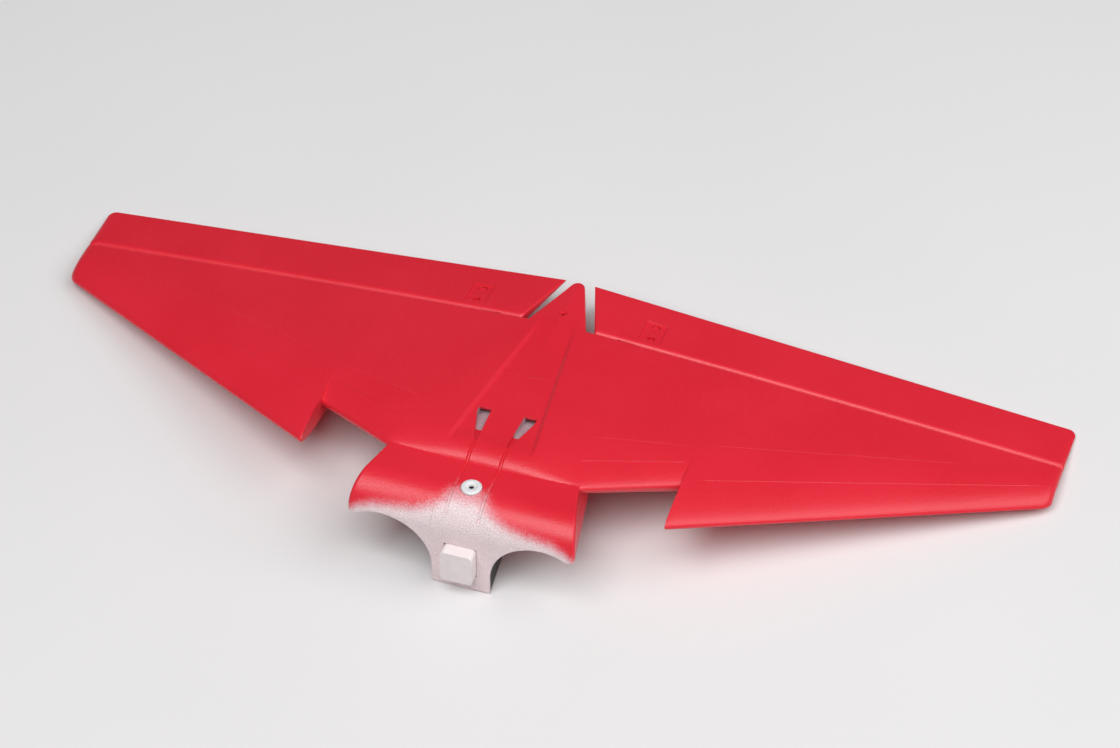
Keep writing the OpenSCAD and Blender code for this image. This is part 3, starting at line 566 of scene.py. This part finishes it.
# Raised mould lines on the top skin, as points in x, y and a height
MOULD_LINES = [
    ([(57, -99.5), (120, -80.5)], 0.14),
    ([(123.5, -77.5), (286, -18)], 0.14),
    ([(57, -123.2), (119, -96.3)], 0.32),
    ([(124, -111), (338, -14)], 0.2),
]
SCUFFS = [
    [(-17, -57.5), (-2, -58), (15, -56.5)],
    [(-20, -75.5), (-10, -74.5)],
    [(1, -75), (8, -76)],
]


def build_wing():
    half = wing_stations()
    both = [(-x, o) for x, o in half[:0:-1]] + half
    wing = loft("wing_foam", [wing_ring(x, o) for x, o in both])
    additions = [front_body()] + [ridge(line, width=0.5, height=0.1) for line in SCUFFS]
    for side in SIDES.values():
        additions += [ridge(line, height=height, side=side) for line, height in MOULD_LINES]
    combine(wing, additions, "UNION")
    cutters = centre_cutters()
    for side in SIDES.values():
        cutters += ramp_cutters(side)
        cutters.append(groove(side))
        for group in (tunnel_cutters, linkage_cutters, hinge_cutters, spar_cutters):
            cutters += group(side)
    cut(wing, cutters)
    return finish_foam(wing, "wing_moulding", "wing")


def bare_inside(piece):
    """Gives the walls of the bays the second material and the wire ramps the third, which paint misses; the third
    is bare foam darkened with painted shade and an overspray tint.
    """
    centre = np.zeros(len(piece.data.polygons) * 3)
    piece.data.polygons.foreach_get("center", centre)
    x, y, z = (centre.reshape(-1, 3) / MM - (0, ORIGIN_Y, 0)).T
    behind = np.column_stack([np.abs(x) - HINGE_X, y, z - HINGE_Z]) @ HINGE_BACK
    outer = (np.abs(x) > TOOTH_X).astype(float)
    buried = (skin(x, y, False, outer) - saddle(x, y) - z > 0.4) & (z - skin(x, y, True, outer) > 0.4)
    in_ramp = (np.abs(x) > 9.5) & (np.abs(x) < 20) & (y > -115.2) & (y < -87)
    below = (z < BAY_TOP + 0.05) | (np.abs(x) > BAY_HALF + 0.5) | in_ramp
    inside = buried & below & (y > -128.2) & (behind < -5) & (np.abs(x) < TIP_START - 8)
    # Slot 2 on the ramps holds painted shade: its darker colour stands for the shade deep in the openings
    slots = np.where(inside & in_ramp, 2, inside)
    piece.data.polygons.foreach_set("material_index", slots.astype(np.int32))


# ------------------------------------------------------------------ ailerons

AILERON_START = 25.3
SLANT = (AILERON_START - 10.2) / 46.0
SLANT_FADE = 70.0


def hinge_line(x):
    """y and z of the hinge axis at x."""
    return (x - HINGE_X) * math.tan(SWEEP), HINGE_Z + (x - HINGE_X) * DROOP_SLOPE


def soften(points, corner, radius, count=5):
    """Points of a curve that replaces a corner between two straight runs."""
    before, after = [corner + (p - corner) * min(1, radius / np.linalg.norm(p - corner)) for p in points]
    t = np.linspace(0, 1, count)[:, None]
    return (1 - t) ** 2 * before + 2 * t * (1 - t) * corner + t ** 2 * after


def aileron_ring(station, thin):
    """Closed section of an aileron whose hinge end is at x = station, slanted near the inner end."""
    lean = SLANT * max(0, 1 - (station - AILERON_START) / SLANT_FADE)
    axis_y, axis_z = hinge_line(station)

    def across(y):
        return station - lean * np.clip(y - axis_y, 0, None)

    edges = []
    for low in (False, True):
        y = axis_y
        for _ in range(4):
            y = axis_y + abs(float(skin(across(y), y, low)) - axis_z) * BEVEL
        edges.append(y)
    rear_y = float(along(REAR, across(44.0), 0)[0])
    halves = []
    for low, edge_y in zip((False, True), edges):
        y = np.concatenate([[edge_y], np.linspace(edge_y + NOSE_ROUND, rear_y, 42)])
        z = skin(across(y), y, low)
        outline = np.column_stack([y, z])
        nose = soften([np.array([axis_y, axis_z]), outline[1]], outline[0], NOSE_ROUND, 8)
        inward = 1 if low else -1
        tail = outline[-1] + np.array([(-0.7, 0), (-0.2, inward * 0.12), (0, inward * 0.42)])
        tail[0, 1] = skin(across(tail[0, 0]), tail[0, 0], low)
        halves.append(np.concatenate([nose, outline[2:-1], tail]))
    outline = np.concatenate([[[axis_y, axis_z]], halves[0], halves[1][::-1]])
    y, z = outline.T
    x = across(y)
    middle = (skin(x, y) + skin(x, y, True)) / 2
    ring = np.column_stack([x, y, middle + (z - middle) * thin])
    return round_tip(ring)


POCKET = (7.0, 19.8, 15.0, 1.0)
PEG_HOLE_R = 2.6
LINKAGE_U = 36.0
PEG_ROWS = (10.4, 22.6)


def pocket_cutter(side):
    """Cutter for the open pocket on top, whose floor lies a little under the skin."""
    front, length, width, depth = POCKET
    corners = [(LINKAGE_U + a * width / 2, front + b * length) for a, b in ((-1, 0), (1, 0), (1, 1), (-1, 1))]
    floor = from_hinge([(u, v, 0) for u, v in corners])
    floor[:, 2] = [float(skin(x, y)) - depth for x, y, _ in floor]
    roof = floor + (0, 0, 9)
    return loft("cutter", [floor * (side, 1, 1), roof * (side, 1, 1)])


def build_aileron(name, side):
    inner = [(AILERON_START + d, t) for d, t in ((0, 0.6), (0.2, 0.76), (0.6, 0.9), (1.2, 0.98), (2.0, 1))]
    span = [(x, 1) for x in np.linspace(AILERON_START + 4, TIP_START, 84)]
    rings = [aileron_ring(x, thin) * (side, 1, 1) for x, thin in inner + span + tip_stations()]
    aileron = loft(f"{name}_aileron_foam", rings)
    horn = to_hinge("left_control_horn")
    base = horn[horn[:, 2] > -5.6]
    cutters = [pocket_cutter(side),
               block((base[:, 0].min() - 0.15, base[:, 1].min() - 0.15, -14),
                     (base[:, 0].max() + 0.15, base[:, 1].max() + 0.15, -3.2), from_hinge, side)]
    for v in PEG_ROWS:
        cutters.append(drum(*[from_hinge([(LINKAGE_U, v, w)], side)[0] for w in (-8, 8)], PEG_HOLE_R, 32))
    cutters += hinge_cutters(side)
    cut(aileron, cutters)
    return finish_foam(aileron, f"{name}_aileron", f"{name}_aileron")


# ------------------------------------------------------------------ materials

class Graph:
    """A material's nodes, with short calls for the ones used here."""

    def __init__(self, name, **settings):
        self.material = bpy.data.materials.new(name)
        self.material.use_nodes = True
        self.tree = self.material.node_tree
        self.shader = self.tree.nodes["Principled BSDF"]
        self.place = self.add("ShaderNodeTexCoord").outputs["Object"]
        for key, value in settings.items():
            self.feed(self.shader.inputs[key.replace("_", " ")], value)

    def add(self, kind, **fields):
        node = self.tree.nodes.new(kind)
        for key, value in fields.items():
            setattr(node, key, value)
        return node

    def feed(self, socket, value):
        if isinstance(value, bpy.types.NodeSocket):
            self.tree.links.new(value, socket)
        else:
            socket.default_value = value

    def noise(self, size_mm, detail=3.0, stretch=(1, 1, 1)):
        """Noise from 0 to 1 whose patches are about size_mm across."""
        mapping = self.add("ShaderNodeMapping")
        self.feed(mapping.inputs["Vector"], self.place)
        mapping.inputs["Scale"].default_value = stretch
        node = self.add("ShaderNodeTexNoise")
        self.feed(node.inputs["Vector"], mapping.outputs["Vector"])
        node.inputs["Scale"].default_value = 1 / (size_mm * MM)
        node.inputs["Detail"].default_value = detail
        return node.outputs["Fac"]

    def cells(self, size_mm):
        """Distance to the nearest cell wall, for the beads of moulded foam."""
        node = self.add("ShaderNodeTexVoronoi", feature="DISTANCE_TO_EDGE")
        self.feed(node.inputs["Vector"], self.place)
        node.inputs["Scale"].default_value = 1 / (size_mm * MM)
        return node.outputs["Distance"]

    def curve(self, value, low, high, out_low=0.0, out_high=1.0):
        node = self.add("ShaderNodeMapRange", interpolation_type="SMOOTHSTEP")
        for key, entry in (("Value", value), ("From Min", low), ("From Max", high),
                           ("To Min", out_low), ("To Max", out_high)):
            self.feed(node.inputs[key], entry)
        return node.outputs["Result"]

    def maths(self, operation, a, b=0.0):
        node = self.add("ShaderNodeMath", operation=operation)
        self.feed(node.inputs[0], a)
        self.feed(node.inputs[1], b)
        return node.outputs[0]

    def mix(self, share, a, b):
        node = self.add("ShaderNodeMix", data_type="RGBA")
        self.feed(node.inputs[0], share)
        self.feed(node.inputs[6], (*a, 1) if isinstance(a, tuple) else a)
        self.feed(node.inputs[7], (*b, 1) if isinstance(b, tuple) else b)
        return node.outputs[2]

    def bump(self, height, depth_mm, strength=1.0, normal=None):
        node = self.add("ShaderNodeBump")
        node.inputs["Strength"].default_value = strength
        node.inputs["Distance"].default_value = depth_mm * MM
        self.feed(node.inputs["Height"], height)
        if normal is not None:
            self.feed(node.inputs["Normal"], normal)
        return node.outputs["Normal"]

    def soft_edges(self, radius_mm):
        node = self.add("ShaderNodeBevel", samples=4)
        node.inputs["Radius"].default_value = radius_mm * MM
        return node.outputs["Normal"]


RED = (0.79, 0.023, 0.044)
RED_DEEP = (0.76, 0.020, 0.039)
BARE_FOAM = (0.90, 0.75, 0.77)
PINK = (0.80, 0.32, 0.36)


def foam_material():
    """Satin red paint over moulded bead foam, fading to bare foam where the paint stops."""
    g = Graph("foam_paint")
    bare = g.add("ShaderNodeAttribute", attribute_name="bare").outputs["Fac"]
    speckle = g.noise(0.7, 2.0)
    drift = g.noise(6.0, 2.0)
    worn = g.maths("ADD", bare, g.maths("MULTIPLY", g.maths("SUBTRACT", speckle, 0.5), 0.8))
    worn = g.maths("ADD", worn, g.maths("MULTIPLY", g.maths("SUBTRACT", drift, 0.5), 0.15))
    worn = g.maths("MULTIPLY", worn, g.curve(bare, 0.0, 0.12))
    red = g.mix(g.curve(g.noise(70, 2.0), 0.35, 0.65), RED, RED_DEEP)
    dusty = g.mix(g.curve(worn, 0.12, 0.62), red, PINK)
    g.feed(g.shader.inputs["Base Color"], g.mix(g.curve(worn, 0.45, 0.95), dusty, BARE_FOAM))
    rough = g.curve(g.noise(3.0, 4.0), 0.3, 0.7, 0.31, 0.37)
    g.feed(g.shader.inputs["Roughness"], g.maths("ADD", rough, g.maths("MULTIPLY", bare, 0.25)))
    g.shader.inputs["Specular IOR Level"].default_value = 0.5
    beads = g.curve(g.cells(3.2), 0.0, 0.10)
    normal = g.bump(beads, 0.035, 1.0, g.soft_edges(0.5))
    normal = g.bump(g.noise(1.1, 3.0), 0.05, 1.0, normal)
    bare_beads = g.maths("MULTIPLY", g.curve(g.cells(2.2), 0.0, 0.16), bare)
    normal = g.bump(bare_beads, 0.22, 1.0, normal)
    g.feed(g.shader.inputs["Normal"], normal)
    return g.material


def plain(name, colour, other, roughness, grain_mm, grain_depth, metallic=0.0, stretch=(1, 1, 1), **extra):
    """A solid finish with fine grain: two close colours, uneven gloss and a shallow bump."""
    g = Graph(name, Metallic=metallic, **extra)
    patches = g.noise(grain_mm * 9, 3.0, stretch)
    g.feed(g.shader.inputs["Base Color"], g.mix(g.curve(patches, 0.3, 0.7), colour, other))
    g.feed(g.shader.inputs["Roughness"], g.curve(g.noise(grain_mm * 3, 3.0, stretch), 0.3, 0.7,
                                                 roughness - 0.05, roughness + 0.05))
    g.feed(g.shader.inputs["Normal"],
           g.bump(g.noise(grain_mm, 4.0, stretch), grain_depth, 1.0, g.soft_edges(0.18)))
    return g.material


def make_materials():
    return {
        "foam_red": foam_material(),
        "foam_white": plain("bare_foam", (0.86, 0.80, 0.80), (0.84, 0.74, 0.75), 0.6, 0.9, 0.08),
        # Wire-ramp foam: bare foam darkened to paint the shade deep in the ramps, with a pink overspray tint
        "foam_shade_overspray": plain("shaded_overspray_foam", (0.54, 0.38, 0.42), (0.46, 0.29, 0.33), 0.6, 0.9, 0.08),
        "carbon": plain("carbon_rod", (0.016, 0.016, 0.018), (0.035, 0.035, 0.038), 0.34, 0.35, 0.03,
                        stretch=(0.05, 1, 1)),
        "nylon_white": plain("nylon", (0.88, 0.84, 0.84), (0.85, 0.80, 0.80), 0.38, 0.4, 0.012,
                             Subsurface_Weight=0.12),
        "plastic_black": plain("black_plastic", (0.018, 0.018, 0.019), (0.030, 0.030, 0.031), 0.5,
                               0.35, 0.02),
        "plastic_red": plain("cover_plastic", RED, RED_DEEP, 0.36, 0.5, 0.015),
        "brass": plain("brass", (0.78, 0.60, 0.28), (0.70, 0.52, 0.24), 0.28, 0.3, 0.006, 1.0),
        "aluminium": plain("aluminium", (0.76, 0.77, 0.78), (0.68, 0.69, 0.70), 0.32, 0.3, 0.008, 1.0,
                           (0.05, 1, 1)),
        "steel": plain("plated_steel", (0.62, 0.63, 0.65), (0.54, 0.55, 0.57), 0.26, 0.3, 0.006, 1.0),
        "lead": plain("cable", (0.03, 0.03, 0.033), (0.045, 0.045, 0.05), 0.55, 0.5, 0.01),
    }


# Where the paint stops on the roll-over: distance from the mid-plane and height
PAINT_EDGE = np.array([(0, 0.6), (9, 0.4), (13, -1.0), (17, -3.2), (22, -5.4), (32, -8.6), (60, -12.0),
                       (70, -16.0), (75.5, -20.5)])
PAINT_FADE = 8.0


def mark_bare(piece):
    """Stores how bare the foam is at each vertex: 1 on the front face, 0 behind the roll-over."""
    points = np.zeros(len(piece.data.vertices) * 3)
    piece.data.vertices.foreach_get("co", points)
    x, y, z = (points.reshape(-1, 3) / MM - (0, ORIGIN_Y, 0)).T
    edge_z = np.interp(np.abs(x), PAINT_EDGE[:, 0], PAINT_EDGE[:, 1])
    bare = smooth_step(edge_z + PAINT_FADE, edge_z - PAINT_FADE, z)
    bare = bare * smooth_step(-160, -169, y)
    layer = piece.data.attributes.new("bare", "FLOAT", "POINT")
    layer.data.foreach_set("value", bare.astype(np.float32))


# ------------------------------------------------------------------ stage

FLOOR_LOW = node_box("wing_moulding")[0]
TIP_REAR = [float(c) for c in along(REAR, HALF_SPAN, 0)]
FLOOR_SLOPE = math.atan2(TIP_REAR[1] - EDGE_T - FLOOR_LOW[2], TIP_REAR[0] - FACE_Y)


def build_floor(material):
    """Pale floor under the wing, which rests nose-up on the keel and on the rear corners of its tips."""
    mesh = bpy.data.meshes.new("floor")
    size = 12.0
    corners = [(-size, -size, 0), (size, -size, 0), (size, size, 0), (-size, size, 0)]
    mesh.from_pydata(corners, [], [(0, 1, 2, 3)])
    floor = bpy.data.objects.new("floor", mesh)
    bpy.context.scene.collection.objects.link(floor)
    floor.location = Vector(place([(0, FACE_Y, FLOOR_LOW[2] - 0.4)])[0])
    floor.rotation_euler = (FLOOR_SLOPE, 0, 0)
    mesh.materials.append(material)
    return floor


def floor_material():
    g = Graph("floor_paper")
    g.feed(g.shader.inputs["Base Color"], g.mix(g.curve(g.noise(300, 2.0), 0.4, 0.6),
                                                (0.80, 0.79, 0.795), (0.79, 0.78, 0.785)))
    g.shader.inputs["Roughness"].default_value = 0.8
    g.shader.inputs["Specular IOR Level"].default_value = 0.15
    return g.material


def area_light(name, azimuth, tilt, size, power):
    """Soft light at 3.2 m in a direction given round the floor's normal, aimed at the wing."""
    azimuth, tilt = math.radians(azimuth), math.radians(tilt)
    toward = Vector((math.cos(azimuth) * math.sin(tilt), math.sin(azimuth) * math.sin(tilt), math.cos(tilt)))
    toward.rotate(Matrix.Rotation(FLOOR_SLOPE, 3, "X"))
    data = bpy.data.lights.new(name, "AREA")
    data.shape = "RECTANGLE"
    data.size, data.size_y = size
    data.energy = power
    light = bpy.data.objects.new(name, data)
    light.location = toward * LIGHT_DISTANCE
    light.rotation_mode = "QUATERNION"
    light.rotation_quaternion = (-toward).to_track_quat("-Z", "Y")
    bpy.context.scene.collection.objects.link(light)


LIGHT_DISTANCE = 3.2


def build_lights():
    """Two soft boxes, one overhead in front and one beside, in a dim room with a bright backdrop."""
    area_light("overhead", 262, 25, (2.3, 2.3), 80)
    area_light("side", 2, 42, (2.8, 2.8), 61)
    world = bpy.data.worlds.new("studio")
    bpy.context.scene.world = world
    world.use_nodes = True
    tree = world.node_tree
    background = tree.nodes["Background"]
    background.inputs["Color"].default_value = (0.93, 0.92, 0.93, 1)
    path = tree.nodes.new("ShaderNodeLightPath")
    strength = tree.nodes.new("ShaderNodeMapRange")
    strength.inputs["To Min"].default_value = ROOM_LIGHT
    strength.inputs["To Max"].default_value = BACKDROP
    tree.links.new(path.outputs["Is Camera Ray"], strength.inputs["Value"])
    tree.links.new(strength.outputs["Result"], background.inputs["Strength"])


ROOM_LIGHT = 0.03
BACKDROP = 0.85


CAMERA_AZIMUTH = 0.3338
CAMERA_RISE = math.radians(42)
CAMERA_DISTANCE = 2623.9
CAMERA_SHIFT = (1.43, -32.32)
LENS = 128.57


def build_camera():
    """Camera at the picture's viewing angle, aimed a little beside the wing's origin."""
    back = Vector((math.sin(CAMERA_AZIMUTH) * math.cos(CAMERA_RISE),
                   -math.cos(CAMERA_AZIMUTH) * math.cos(CAMERA_RISE), math.sin(CAMERA_RISE)))
    right = (-back).cross(Vector((0, 0, 1))).normalized()
    up = right.cross(-back)
    spot = back * CAMERA_DISTANCE + right * CAMERA_SHIFT[0] + up * CAMERA_SHIFT[1]
    data = bpy.data.cameras.new("camera")
    data.lens = LENS
    data.sensor_width = 36
    data.sensor_fit = "HORIZONTAL"
    camera = bpy.data.objects.new("camera", data)
    turn = Matrix((right, up, back)).transposed()
    camera.matrix_world = Matrix.Translation(Vector(place([spot])[0])) @ turn.to_4x4()
    bpy.context.scene.collection.objects.link(camera)
    bpy.context.scene.camera = camera


# ------------------------------------------------------------------ assembly

materials = make_materials()
for entry in frame["record"]["subparts"]:
    mesh = NODES[entry["node"]].data
    mesh.materials.clear()
    mesh.materials.append(materials[entry["material_slot"]])

wing = build_wing()
mark_bare(wing)
foams = [wing] + [build_aileron(name, side) for name, side in SIDES.items()]
for piece in foams:
    piece.data.materials.clear()
    piece.data.materials.append(materials["foam_red"])
wing.data.materials.append(materials["foam_white"])
# Third slot: ramp foam with painted shade and an overspray tint
wing.data.materials.append(materials["foam_shade_overspray"])
bare_inside(wing)

build_floor(floor_material())
build_lights()
build_camera()
bpy.context.scene.view_settings.view_transform = "Standard"
